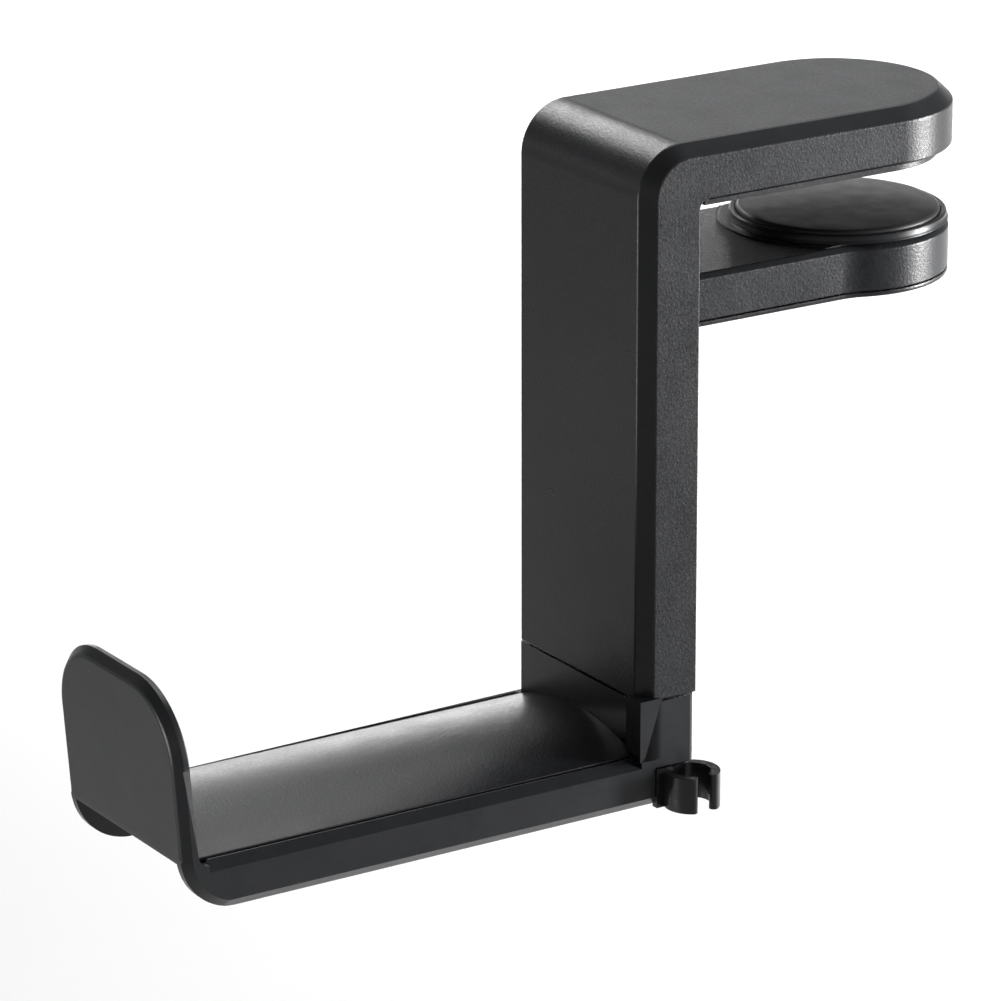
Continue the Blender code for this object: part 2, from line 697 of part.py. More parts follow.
def thread_radius(angle, z):
    """Radius of the lead screw's thread at one angle and height."""
    phase = (z / LEAD - angle / (2 * math.pi)) % 1.0
    return SCREW_R - THREAD_DEPTH * (0.5 - 0.5 * math.cos(2 * math.pi * phase)) ** 0.7


def lead_screw(assembly):
    """Hexagonal drive, bearing journal with its clip groove, thread and upper journal."""
    around = 12
    top = BEARING_Z[1] - 0.8 * MM
    rows = [(DRIVE_Z[0], "drive"), (DRIVE_Z[1] - 0.1 * MM, "drive")]
    rows += [(DRIVE_Z[1], SCREW_R), (GROOVE_Z[0], SCREW_R)]
    rows += [(GROOVE_Z[0], GROOVE_R), (GROOVE_Z[1], GROOVE_R)]
    rows += [(GROOVE_Z[1], SCREW_R), (THREAD_Z[0], SCREW_R)]
    step = LEAD / 3
    count = round((THREAD_Z[1] - THREAD_Z[0]) / step)
    rows += [(THREAD_Z[0] + step * (i + 0.5), "thread") for i in range(count)]
    rows += [(THREAD_Z[1], SCREW_R - THREAD_DEPTH), (THREAD_Z[1] + 0.1 * MM, JOURNAL_R), (top, JOURNAL_R)]
    bm = bmesh.new()
    loops = []
    for z, kind in rows:
        loop = []
        for i in range(around):
            angle = 2 * math.pi * i / around
            if kind == "drive":
                radius = DRIVE_R if i % 2 else DRIVE_R * math.cos(math.pi / 6)
            elif kind == "thread":
                radius = thread_radius(angle, z)
            else:
                radius = kind
            loop.append(bm.verts.new((radius * math.cos(angle), AXIS_Y + radius * math.sin(angle), z)))
        loops.append(loop)
    for lower, upper in zip(loops, loops[1:]):
        for i in range(around):
            j = (i + 1) % around
            bm.faces.new((lower[i], lower[j], upper[j], upper[i]))
    bm.faces.new(list(reversed(loops[0])))
    bm.faces.new(loops[-1])
    screw = assembly.part("lead_screw", "steel", bm, 50)
    bore_top = DRIVE_Z[0] + 4.0 * MM
    assembly.cut(screw, rod(HUB_SCREW_R + SCREW_FIT, (0, AXIS_Y, DRIVE_Z[0] - REACH), (0, AXIS_Y, bore_top), 12))


def retaining_clip(assembly):
    """Open ring that sits in the lead screw's groove, above the thrust washer."""
    inner, outer = GROOVE_R + RUNNING_GAP, LOWER_HOLE_R - 0.1 * MM
    ring = arc((0.0, AXIS_Y), outer, -120, 120, 16) + arc((0.0, AXIS_Y), inner, 120, -120, 16)
    low, high = GROOVE_Z[0] + 0.15 * MM, GROOVE_Z[1] - 0.15 * MM
    assembly.part("retaining_clip", "dark_steel", thick_outline(ring, low, high, PLAN))


def hub_fixing(assembly):
    washer_high = NECK_TOP_Z - GAP + 0.2 * MM
    washer_low = washer_high - HUB_WASHER
    inner = SCREW_R + SCREW_FIT
    washer(assembly, "seam_washer", "acetal", inner, SEAM_WASHER_R, washer_low, washer_high)
    high = POCKET_TOP_Z - GAP
    inner = HUB_SCREW_R + SCREW_FIT
    washer(assembly, "hub_washer", "steel", inner, STOUT_HEAD_R + 2 * GAP, high - HUB_WASHER, high)
    head_top = high - HUB_WASHER - GAP
    head = rod(STOUT_HEAD_R, (0, AXIS_Y, head_top - 1.4 * MM), (0, AXIS_Y, head_top))
    screw = assembly.part("hub_screw", "dark_steel", head)
    tip = DRIVE_Z[0] + 3.5 * MM
    assembly.join(screw, rod(HUB_SCREW_R, (0, AXIS_Y, head_top - REACH), (0, AXIS_Y, tip), 12))


def neck_cap(assembly):
    edge = POCKET_X - GAP
    low = (-edge, POCKET_Y[0] + GAP, RAIL_BOTTOM_Z)
    high = (edge, POCKET_Y[1] - GAP, RAIL_BOTTOM_Z + 1.6 * MM)
    cap = assembly.part("neck_cap", "satin_plastic", box(low, high))
    peg_y, peg_z = CLIP_PEG
    lug = box((-edge + 4 * MM, peg_y - MM, high[2] - 0.5 * MM), (-edge + 6 * MM, peg_y + MM, peg_z + 2 * MM))
    assembly.join(cap, mirrored(lug))


def cable_clip(assembly):
    """C-shaped clip with its mouth to +X, joined to a base plate with a peg."""
    centre_x, centre_y = CLIP_CENTRE
    inner = CLIP_R - CLIP_WALL
    half_mouth = CLIP_MOUTH / 2
    tip = math.degrees(math.asin(half_mouth / (CLIP_R - CLIP_WALL / 2)))
    ring = arc(CLIP_CENTRE, CLIP_R, tip, 360 - tip, 32) + arc(CLIP_CENTRE, inner, 360 - tip, tip, 28)
    bm = thick_outline(ring, CLIP_Z[0], CLIP_Z[1], PLAN)
    clip = assembly.part("cable_clip", "gloss_plastic", bm)
    plate_high = (HALF + 0.15 * MM, centre_y - inner * 0.9, CLIP_Z[1] + REACH - GAP)
    plate = box((CLIP_SEAT_X + GAP, CLIP_SEAT_Y + GAP, CLIP_Z[0]), plate_high)
    peg_y, peg_z = CLIP_PEG
    peg = rod(CLIP_PEG_R, (CLIP_SEAT_X + REACH, peg_y, peg_z), (CLIP_PEG_TIP_X, peg_y, peg_z), 16)
    assembly.join(clip, plate)
    assembly.join(clip, peg)


# ---- lower jaw ----

JAW_COVER_FIXINGS = [(-11.0 * MM, -24.0 * MM), (11.0 * MM, -24.0 * MM), (0.0, 12.0 * MM)]
TONGUE_SCREWS = [(-3.3 * MM, -34.0 * MM), (3.3 * MM, -34.0 * MM)]
TONGUE_TIP_Y = -30.0 * MM
JAW_WALL = 2.0 * MM
PLUG_Z = JAW_SPLIT_Z + 1.05 * MM
PLUG_R = 3.2 * MM
TONGUE_BOSS_R = 2.3 * MM
PAD_SCREW_R = 0.9 * MM
PAD_HOLE_R = 1.1 * MM


def lower_jaw(assembly):
    bottom = JAW_SPLIT_Z + GAP
    bm = thick_outline(jaw_outline(0.0), bottom, JAW_TOP_Z, PLAN)
    soften(bm, lambda e: along(e, lambda p: p.z > JAW_TOP_Z - MERGE), 0.9 * MM, 2)
    jaw = assembly.part("lower_jaw", "satin_plastic", bm, 30)
    ceiling = JAW_TOP_Z - JAW_WALL
    assembly.cut(jaw, thick_outline(jaw_outline(JAW_WALL), bottom - REACH, ceiling, PLAN))
    bosses = [rod(BOSS_R, (x, y, ceiling + REACH), (x, y, PLUG_Z + GAP)) for x, y in JAW_COVER_FIXINGS]
    boss_end = TONGUE_Z[1] + GAP
    bosses += [rod(TONGUE_BOSS_R, (x, y, ceiling + REACH), (x, y, boss_end)) for x, y in TONGUE_SCREWS]
    assembly.join(jaw, *bosses)
    pilot = SHANK_R + SCREW_FIT
    holes = [rod(pilot, (x, y, bottom), (x, y, ceiling + REACH / 2), 12) for x, y in JAW_COVER_FIXINGS]
    holes += [rod(pilot, (x, y, bottom), (x, y, ceiling + REACH), 12) for x, y in TONGUE_SCREWS]
    holes.append(rod(PAD_SCREW_R + GAP, (0, HEAD_Y, ceiling - REACH), (0, HEAD_Y, JAW_TOP_Z + REACH), 16))
    opening = TONGUE_HALF + GAP
    holes.append(
        box((-opening, JAW_BACK_Y - REACH, bottom - REACH), (opening, JAW_BACK_Y + 3 * MM, TONGUE_Z[1] + GAP))
    )
    assembly.cut(jaw, *holes)


def lower_jaw_cover(assembly):
    bm = thick_outline(jaw_outline(0.0), JAW_BOTTOM_Z, JAW_SPLIT_Z, PLAN)
    soften(bm, lambda e: along(e, lambda p: p.z < JAW_BOTTOM_Z + MERGE), 0.35 * MM)
    cover = assembly.part("lower_jaw_cover", "satin_plastic", bm, 30)
    pads = [rod(PLUG_R, (x, y, JAW_SPLIT_Z - MM / 2), (x, y, PLUG_Z)) for x, y in JAW_COVER_FIXINGS]
    assembly.join(cover, *pads)
    bores, holes = [], []
    for i, (x, y) in enumerate(JAW_COVER_FIXINGS):
        bore, hole = screw_hole((x, y, JAW_BOTTOM_Z), (x, y, PLUG_Z + REACH))
        bores.append(bore)
        holes.append(hole)
        seat = (x, y, JAW_BOTTOM_Z + 0.1 * MM)
        small_screw(assembly, f"lower_jaw_screw_{i + 1}", seat, (x, y, JAW_TOP_Z - JAW_WALL))
    assembly.cut(cover, *bores)
    assembly.cut(cover, *holes)


NUT_HALF = 4.0 * MM
NUT_Z = (-22.5 * MM, -17.5 * MM)
CARRIAGE_X = 8.3 * MM
CARRIAGE_Y = (-50.0 * MM, -44.0 * MM)
CARRIAGE_Z = (-27.5 * MM, -12.0 * MM)


def jaw_carriage(assembly):
    """Block that slides in the column, with a window for the nut and a tongue for the jaw."""
    low = (-CARRIAGE_X, CARRIAGE_Y[0], CARRIAGE_Z[0])
    high = (CARRIAGE_X, CARRIAGE_Y[1], CARRIAGE_Z[1])
    carriage = assembly.part("jaw_carriage", "inner_plastic", box(low, high))
    tongue_low = (-TONGUE_HALF, CARRIAGE_Y[1] - REACH, TONGUE_Z[0])
    tongue = box(tongue_low, (TONGUE_HALF, TONGUE_TIP_Y, TONGUE_Z[1]))
    assembly.join(carriage, tongue)
    window = box(
        (-NUT_HALF - GAP, CARRIAGE_Y[0] - REACH, NUT_Z[0] - GAP),
        (NUT_HALF + GAP, CARRIAGE_Y[1] + 0.1 * MM, NUT_Z[1] + GAP),
    )
    assembly.cut(carriage, window)
    bore = rod(
        SCREW_R + 0.35 * MM,
        (0, AXIS_Y, CARRIAGE_Z[0] - REACH),
        (0, AXIS_Y, CARRIAGE_Z[1] + REACH),
        24,
    )
    holes = [
        rod(SHANK_R + GAP, (x, y, TONGUE_Z[0] - REACH), (x, y, TONGUE_Z[1] + REACH), 12) for x, y in TONGUE_SCREWS
    ]
    assembly.cut(carriage, bore, *holes)
    for i, (x, y) in enumerate(TONGUE_SCREWS):
        seat = (x, y, TONGUE_Z[0] - HEAD_HIGH - 0.1 * MM)
        small_screw(assembly, f"carriage_screw_{i + 1}", seat, (x, y, JAW_TOP_Z - JAW_WALL + REACH / 2))


def drive_nut(assembly):
    low = (-NUT_HALF, CARRIAGE_Y[0] + 0.1 * MM, NUT_Z[0])
    high = (NUT_HALF, CARRIAGE_Y[1] - 0.1 * MM, NUT_Z[1])
    nut = assembly.part("drive_nut", "brass", box(low, high))
    hole = rod(SCREW_R + RUNNING_GAP, (0, AXIS_Y, NUT_Z[0] - REACH), (0, AXIS_Y, NUT_Z[1] + REACH), 32)
    assembly.cut(nut, hole)


def lower_pad(assembly):
    """Dished carrier on the jaw, and the rubber pad in it, flat in the middle."""
    low = JAW_TOP_Z + GAP
    seat = low + 0.8 * MM
    rim = seat + 0.6 * MM
    inner = PAD_R + GAP
    profile = [(0.0, seat), (inner, seat), (inner, rim - 0.2 * MM), (inner + 0.3 * MM, rim)]
    profile += [(CARRIER_R - 0.3 * MM, rim), (CARRIER_R, rim - 0.3 * MM), (CARRIER_R, low), (0.0, low)]
    carrier = assembly.turned("pad_carrier", "satin_plastic", (0.0, HEAD_Y), profile, 36)
    assembly.cut(carrier, rod(PAD_HOLE_R, (0, HEAD_Y, low - REACH), (0, HEAD_Y, seat + REACH), 16))
    edge_z = PAD_TOP_Z - 0.5 * MM
    pad = [(0.0, PAD_TOP_Z)]
    pad += [(PAD_R * 0.5, PAD_TOP_Z), (PAD_R - 0.9 * MM, PAD_TOP_Z - 0.25 * MM)]
    pad += [(PAD_R - 0.2 * MM, edge_z), (PAD_R, edge_z - 0.4 * MM), (PAD_R, seat + GAP), (0.0, seat + GAP)]
    disc = assembly.turned("lower_pad", "rubber", (0.0, HEAD_Y), pad, 36)
    assembly.cut(disc, rod(PAD_HOLE_R, (0, HEAD_Y, seat - REACH), (0, HEAD_Y, seat + GAP + 0.5 * MM), 16))
    ceiling = JAW_TOP_Z - JAW_WALL
    head = ceiling - 0.1 * MM
    bar = rod(STOUT_HEAD_R, (0, HEAD_Y, head - MM), (0, HEAD_Y, head))
    screw = assembly.part("pad_screw", "dark_steel", bar)
    assembly.join(screw, rod(PAD_SCREW_R, (0, HEAD_Y, head - MM / 2), (0, HEAD_Y, seat + 0.2 * MM), 12))


def main():
    clear_scene()
    assembly = Assembly("headphone_hook")
    column_shell(assembly)
    rear_cover(assembly)
    upper_jaw_cover(assembly)
    screw_bearings(assembly)
    retaining_clip(assembly)
    assembly.under("hook_axis", (0.0, AXIS_Y, SEAM_Z))
    hook_frame(assembly)
    lead_screw(assembly)
    hub_fixing(assembly)
    neck_cap(assembly)
    cable_clip(assembly)
    assembly.under("jaw_guide", (0.0, AXIS_Y, JAW_TOP_Z))
    lower_jaw(assembly)
    lower_jaw_cover(assembly)
    jaw_carriage(assembly)
    drive_nut(assembly)
    lower_pad(assembly)


main()
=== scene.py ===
"""Looks of the headphone hook with a desk clamp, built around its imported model."""

import json
import math

import bmesh
import bpy
from mathutils import Matrix, Vector


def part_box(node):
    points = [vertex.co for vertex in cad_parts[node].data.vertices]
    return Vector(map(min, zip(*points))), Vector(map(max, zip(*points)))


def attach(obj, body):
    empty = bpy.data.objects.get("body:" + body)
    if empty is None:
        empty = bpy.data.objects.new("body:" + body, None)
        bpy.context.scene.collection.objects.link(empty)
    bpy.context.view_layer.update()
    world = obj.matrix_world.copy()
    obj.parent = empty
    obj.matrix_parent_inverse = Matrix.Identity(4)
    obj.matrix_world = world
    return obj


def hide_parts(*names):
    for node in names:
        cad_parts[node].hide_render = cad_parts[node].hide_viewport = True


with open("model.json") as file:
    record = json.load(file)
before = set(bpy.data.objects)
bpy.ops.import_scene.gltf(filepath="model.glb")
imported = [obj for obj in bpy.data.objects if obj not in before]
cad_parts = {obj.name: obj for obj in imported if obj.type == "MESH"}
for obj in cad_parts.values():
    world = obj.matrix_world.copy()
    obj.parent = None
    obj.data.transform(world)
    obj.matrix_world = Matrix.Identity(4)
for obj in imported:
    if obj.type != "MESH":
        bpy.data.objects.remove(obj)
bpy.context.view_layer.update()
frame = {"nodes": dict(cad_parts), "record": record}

MM = 0.001
GAP = 0.3 * MM
REACH = 1.0 * MM
MERGE = 0.000004

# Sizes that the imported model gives
SHELL_LOW, SHELL_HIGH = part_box("column_shell")
HOOK_LOW, HOOK_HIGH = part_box("hook_frame")
JAW_LOW, JAW_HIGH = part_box("lower_jaw")
JAW_COVER_LOW, JAW_COVER_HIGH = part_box("lower_jaw_cover")
REAR_LOW, REAR_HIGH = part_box("rear_cover")
PAD_LOW, PAD_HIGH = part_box("lower_pad")
CARRIER_LOW, CARRIER_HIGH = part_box("pad_carrier")
UPPER_PAD_LOW, UPPER_PAD_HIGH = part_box("upper_pad")
SCREW_LOW, SCREW_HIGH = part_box("lead_screw")
CLIP_LOW, CLIP_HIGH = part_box("cable_clip")
CARRIAGE_LOW, CARRIAGE_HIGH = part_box("jaw_carriage")

HALF = SHELL_HIGH.x
FRONT_Y = SHELL_LOW.y
TOP_Z = SHELL_HIGH.z
SEAM_Z = SHELL_LOW.z
BACK_Y = REAR_HIGH.y
AXIS_Y = (FRONT_Y + BACK_Y) / 2
UNDERSIDE_Z = 0.7 * MM
CHAMFER = 2.35 * MM
CORNER_R = 8.8 * MM
REAR_R = 2.2 * MM
THROAT_R = 1.6 * MM
WALL = 2.4 * MM
EDGE = 0.28 * MM

NECK_TOP_Z = SEAM_Z - GAP
NECK_BACK_Y = HOOK_HIGH.y
NECK_REAR_R = 1.0 * MM
RAIL_BOTTOM_Z = HOOK_LOW.z
RAIL_TOP_Z = -95.7 * MM
RAIL_INNER_X = HALF - 3.0 * MM
RAIL_CHAMFER = 1.85 * MM
LIP_WIDTH = 1.9 * MM
LIP_CHAMFER = 1.6 * MM
CHANNEL_Z = -96.7 * MM
TOE_DROP = 0.5 * MM
SADDLE_GROOVE = 0.35 * MM
PLATE_TOP_Z = HOOK_HIGH.z
PLATE_FOOT = (-141.0 * MM, -95.9 * MM)
PLATE_LEAN = math.radians(4.5)
PLATE_THICK = 2.6 * MM
PLATE_CORNER_R = 13.0 * MM
HEEL_R = 10.8 * MM
TOE_R = 2.0 * MM
RIM = 1.5 * MM
RIM_ROUNDING = 0.5 * MM
INNER_RIM = 0.35 * MM
SADDLE_R = 49.0 * MM
SADDLE_TOP_Z = -92.1 * MM
SADDLE_THICK = 2.2 * MM

JAW_HALF = 17.0 * MM
HEAD_R = (JAW_HIGH.x - JAW_LOW.x) / 2
HEAD_Y = JAW_HIGH.y - HEAD_R
HEAD_BLEND = 12.0 * MM
PAD_R = PAD_HIGH.x
CARRIER_R = CARRIER_HIGH.x
TONGUE_HALF = 6.0 * MM

CLIP_CENTRE = (21.9 * MM, -43.5 * MM)
CLIP_R = 4.85 * MM
CLIP_WALL = 1.6 * MM
CLIP_RING_TOP_Z = -98.6 * MM
CLIP_MOUTH = 2.6 * MM
CLIP_SEAT_X = 18.8 * MM
CLIP_SEAT_Y = -49.7 * MM

# Directions in which a flat outline is thickened
SIDE = Matrix(((0, 0, 1, 0), (1, 0, 0, 0), (0, 1, 0, 0), (0, 0, 0, 1)))
PLAN = Matrix.Identity(4)
FACE = Matrix(((1, 0, 0, 0), (0, 0, -1, 0), (0, 1, 0, 0), (0, 0, 0, 1)))


# ---- outlines and meshes ----


def arc(centre, radius, start, end, steps):
    points = []
    for i in range(steps + 1):
        angle = math.radians(start + (end - start) * i / steps)
        points.append((centre[0] + radius * math.cos(angle), centre[1] + radius * math.sin(angle)))
    return points


def stadium(half, back, radius, steps=72):
    return [(-half, back), (half, back)] + arc((0.0, 0.0), radius, 0, 180, steps)


def jaw_outline(inset):
    half = JAW_HALF - inset
    radius = HEAD_R - inset
    blend = HEAD_BLEND + inset
    blend_x = half + blend
    below_head = math.sqrt((radius + blend) ** 2 - blend_x**2)
    touch = -math.degrees(math.atan2(below_head, blend_x))
    right = [(half, JAW_LOW.y + inset)]
    right += arc((blend_x, HEAD_Y - below_head), blend, 180, 180 + touch, 14)
    head = arc((0.0, HEAD_Y), radius, touch, 180 - touch, 84)
    left = [(-x, y) for x, y in reversed(right)]
    return right + head[1:-1] + left


def tidy(bm):
    bmesh.ops.remove_doubles(bm, verts=bm.verts, dist=MERGE)
    bmesh.ops.dissolve_limit(
        bm, angle_limit=math.radians(0.2), verts=bm.verts, edges=bm.edges, delimit={"NORMAL"}
    )
    bmesh.ops.recalc_face_normals(bm, faces=bm.faces)


def evaluated_mesh(thing):
    bpy.context.view_layer.update()
    depsgraph = bpy.context.evaluated_depsgraph_get()
    return bpy.data.meshes.new_from_object(thing.evaluated_get(depsgraph))


def bmesh_of(mesh):
    bm = bmesh.new()
    bm.from_mesh(mesh)
    bpy.data.meshes.remove(mesh)
    return bm


def prism(points, low, high, turn):
    """A flat outline thickened from low to high."""
    curve = bpy.data.curves.new("outline", "CURVE")
    curve.dimensions = "2D"
    curve.fill_mode = "BOTH"
    curve.extrude = (high - low) / 2
    spline = curve.splines.new("POLY")
    spline.points.add(len(points) - 1)
    for point, (u, v) in zip(spline.points, points):
        point.co = (u, v, 0.0, 1.0)
    spline.use_cyclic_u = True
    holder = bpy.data.objects.new("outline", curve)
    bpy.context.scene.collection.objects.link(holder)
    bm = bmesh_of(evaluated_mesh(holder))
    bpy.data.objects.remove(holder)
    bpy.data.curves.remove(curve)
    middle = (high + low) / 2
    if turn == FACE:
        middle = -middle
    bm.transform(turn @ Matrix.Translation((0.0, 0.0, middle)))
    tidy(bm)
    return bm


def box(low, high):
    bm = bmesh.new()
    low, high = Vector(low), Vector(high)
    place = Matrix.Translation((low + high) / 2) @ Matrix.Diagonal((*(high - low), 1.0))
    bmesh.ops.create_cube(bm, size=1.0, matrix=place)
    return bm


def rod(radius, start, end, steps=48, end_radius=None):
    start, end = Vector(start), Vector(end)
    along = end - start
    turn = along.to_track_quat("Z", "Y").to_matrix().to_4x4()
    bm = bmesh.new()
    bmesh.ops.create_cone(
        bm,
        cap_ends=True,
        segments=steps,
        radius1=radius,
        radius2=radius if end_radius is None else end_radius,
        depth=along.length,
        matrix=Matrix.Translation((start + end) / 2) @ turn,
    )
    return bm


def corner_wedge(corner, inward, size, start, end, turn):
    """Prism that takes a 45 degree corner off an edge; inward gives the signs that point into the solid."""
    u, v = corner
    to_u, to_v = inward
    outline = [
        (u + to_u * (size + REACH), v - to_v * REACH),
        (u - to_u * REACH, v + to_v * (size + REACH)),
        (u - to_u * REACH, v - to_v * REACH),
    ]
    return prism(outline, start, end, turn)


def mirrored(shape):
    """The shape and its mirror image across x = 0."""
    mesh = bpy.data.meshes.new("mirrored")
    shape.to_mesh(mesh)
    mesh.transform(Matrix.Scale(-1.0, 4, Vector((1, 0, 0))))
    mesh.flip_normals()
    shape.from_mesh(mesh)
    bpy.data.meshes.remove(mesh)
    return shape


def temporary(bm):
    mesh = bpy.data.meshes.new("temporary")
    bm.to_mesh(mesh)
    bm.free()
    thing = bpy.data.objects.new("temporary", mesh)
    bpy.context.scene.collection.objects.link(thing)
    return thing


def boolean(first, operation, second):
    """DIFFERENCE, UNION or INTERSECT of two solids."""
    a, b = temporary(first), temporary(second)
    modifier = a.modifiers.new("boolean", "BOOLEAN")
    modifier.operation = operation
    modifier.solver = "EXACT"
    modifier.object = b
    bm = bmesh_of(evaluated_mesh(a))
    for thing in (a, b):
        mesh = thing.data
        bpy.data.objects.remove(thing)
        bpy.data.meshes.remove(mesh)
    tidy(bm)
    return bm


def cut(bm, *shapes):
    for shape in shapes:
        bm = boolean(bm, "DIFFERENCE", shape)
    return bm


def soften(bm, pick, width, segments=1):
    edges = [edge for edge in bm.edges if edge.is_manifold and edge.calc_face_angle() > 0.01 and pick(edge)]
    bmesh.ops.bevel(
        bm, geom=edges, offset=width, offset_type="OFFSET", segments=segments, profile=0.5, affect="EDGES"
    )


def along(edge, test):
    a, b = edge.verts[0].co, edge.verts[1].co
    return test(a) and test(b) and test((a + b) / 2)


def piece(name, bm, body, material, replaced=(), edge=0.0, limit=28, segments=3, smooth=35):
    """An object with small rounded edges that rides on a body and stands for CAD nodes."""
    mesh = bpy.data.meshes.new(name)
    bm.to_mesh(mesh)
    bm.free()
    thing = bpy.data.objects.new(name, mesh)
    bpy.context.scene.collection.objects.link(thing)
    if edge > 0:
        rounding = thing.modifiers.new("Rounding", "BEVEL")
        rounding.width = edge
        rounding.segments = segments
        rounding.limit_method = "ANGLE"
        rounding.angle_limit = math.radians(limit)
        rounding.use_clamp_overlap = True
        rounding.harden_normals = False
        rounded = evaluated_mesh(thing)
        thing.modifiers.clear()
        old = thing.data
        thing.data = rounded
        thing.data.name = name
        bpy.data.meshes.remove(old)
    thing.data.materials.clear()
    thing.data.materials.append(material)
    thing.data.shade_smooth()
    thing.data.set_sharp_from_angle(angle=math.radians(smooth))
    weighted = thing.modifiers.new("Normals", "WEIGHTED_NORMAL")
    weighted.keep_sharp = True
    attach(thing, body)
    if replaced:
        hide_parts(*replaced)
    return thing


def turned(profile, centre, steps=96):
    """A solid turned about an upright axis: profile is (radius, height) from the top centre down."""
    bm = bmesh.new()
    points = [bm.verts.new((radius, 0.0, height)) for radius, height in profile]
    for a, b in zip(points, points[1:]):
        bm.edges.new((a, b))
    if profile[0][0] > MERGE:
        bm.edges.new((points[-1], points[0]))
    bmesh.ops.spin(
        bm,
        geom=bm.verts[:] + bm.edges[:],
        cent=(0, 0, 0),
        axis=(0, 0, 1),
        angle=math.tau,
        steps=steps,
        use_merge=True,
    )
    bmesh.ops.remove_doubles(bm, verts=bm.verts, dist=MERGE)
    bmesh.ops.recalc_face_normals(bm, faces=bm.faces)
    bm.transform(Matrix.Translation((*centre, 0.0)))
    return bm


# ---- materials ----


class Nodes:
    """Short forms for building a node tree."""

    def __init__(self, material):
        self.tree = material.node_tree
        self.shader = self.tree.nodes["Principled BSDF"]
        self.coords = self.tree.nodes.new("ShaderNodeTexCoord").outputs["Object"]

    def noise(self, scale, detail=2.0, roughness=0.5, vector=None):
        node = self.tree.nodes.new("ShaderNodeTexNoise")
        node.inputs["Scale"].default_value = scale
        node.inputs["Detail"].default_value = detail
        node.inputs["Roughness"].default_value = roughness
        self.tree.links.new(vector or self.coords, node.inputs["Vector"])
        return node.outputs["Fac"]

    def stretched(self, scale):
        node = self.tree.nodes.new("ShaderNodeMapping")
        node.inputs["Scale"].default_value = scale
        self.tree.links.new(self.coords, node.inputs["Vector"])
        return node.outputs["Vector"]

    def cells(self, scale):
        node = self.tree.nodes.new("ShaderNodeTexVoronoi")
        node.feature = "SMOOTH_F1"
        node.inputs["Scale"].default_value = scale
        self.tree.links.new(self.coords, node.inputs["Vector"])
        return node.outputs["Distance"]

    def spread(self, value, low, high, to_low, to_high):
        node = self.tree.nodes.new("ShaderNodeMapRange")
        node.inputs["From Min"].default_value = low
        node.inputs["From Max"].default_value = high
        node.inputs["To Min"].default_value = to_low
        node.inputs["To Max"].default_value = to_high
        self.tree.links.new(value, node.inputs["Value"])
        return node.outputs["Result"]

    def maths(self, operation, a, b):
        node = self.tree.nodes.new("ShaderNodeMath")
        node.operation = operation
        for socket, value in zip(node.inputs, (a, b)):
            if isinstance(value, (int, float)):
                socket.default_value = value
            else:
                self.tree.links.new(value, socket)
        return node.outputs["Value"]

    def blend(self, factor, first, second):
        node = self.tree.nodes.new("ShaderNodeMix")
        node.data_type = "RGBA"
        self.tree.links.new(factor, node.inputs["Factor"])
        node.inputs["A"].default_value = (*first, 1.0)
        node.inputs["B"].default_value = (*second, 1.0)
        return node.outputs["Result"]

    def pointed(self):
        return self.tree.nodes.new("ShaderNodeNewGeometry").outputs["Pointiness"]

    def bump(self, height, distance, strength=1.0, under=None):
        node = self.tree.nodes.new("ShaderNodeBump")
        node.inputs["Distance"].default_value = distance
        node.inputs["Strength"].default_value = strength
        self.tree.links.new(height, node.inputs["Height"])
        if under is not None:
            self.tree.links.new(under, node.inputs["Normal"])
        return node.outputs["Normal"]

    def set(self, name, value):
        socket = self.shader.inputs[name]
        if isinstance(value, (int, float, tuple)):
            socket.default_value = value
        else:
            self.tree.links.new(value, socket)


def new_nodes(name):
    material = bpy.data.materials.new(name)
    material.use_nodes = True
    return material, Nodes(material)


def moulded(name, dark, light, rough, grain, depth, specular=0.5):
    """Satin moulded plastic: fine spark grain and slight flow marks."""
    material, n = new_nodes(name)
    flow = n.noise(34, 4, 0.6)
    speckle = n.noise(grain * 0.9, 2, 0.6)
    mixed = n.maths("ADD", n.maths("MULTIPLY", flow, 0.6), n.maths("MULTIPLY", speckle, 0.4))
    n.set("Base Color", n.blend(n.spread(mixed, 0.32, 0.68, 0, 1), dark, light))
    patches = n.noise(120, 5, 0.65)
    base = n.spread(patches, 0.3, 0.7, rough - 0.03, rough + 0.04)
    fine = n.spread(speckle, 0.3, 0.7, -0.05, 0.05)
    n.set("Roughness", n.maths("ADD", base, fine))
    n.set("Specular IOR Level", specular)
    broad = n.bump(n.noise(55, 2, 0.5), 0.00004, 0.35)
    n.set("Normal", n.bump(n.noise(grain, 3, 0.62), depth, 0.8, broad))
    return material


def rubber_material(name, colour, rough):
    material, n = new_nodes(name)
    tone = n.noise(90, 4, 0.6)
    lighter = tuple(c * 1.9 + 0.003 for c in colour)
    n.set("Base Color", n.blend(n.spread(tone, 0.3, 0.75, 0, 1), colour, lighter))
    n.set("Roughness", n.spread(n.noise(260, 4, 0.6), 0.3, 0.7, rough - 0.06, rough + 0.08))
    n.set("Normal", n.bump(n.noise(1500, 2, 0.5), 0.000012, 0.5))
    return material


def metal_material(name, colour, rough, stretch):
    """Turned or rolled metal: fine marks in one direction, with a few duller patches."""
    material, n = new_nodes(name)
    marks = n.noise(1.0, 3, 0.6, n.stretched(stretch))
    darker = tuple(c * 0.72 for c in colour)
    n.set("Base Color", n.blend(n.spread(marks, 0.3, 0.7, 0, 1), darker, colour))
    n.set("Metallic", 1.0)
    n.set("Roughness", n.spread(n.noise(400, 3, 0.6), 0.3, 0.7, rough - 0.05, rough + 0.1))
    n.set("Normal", n.bump(marks, 0.000008, 0.5))
    return material


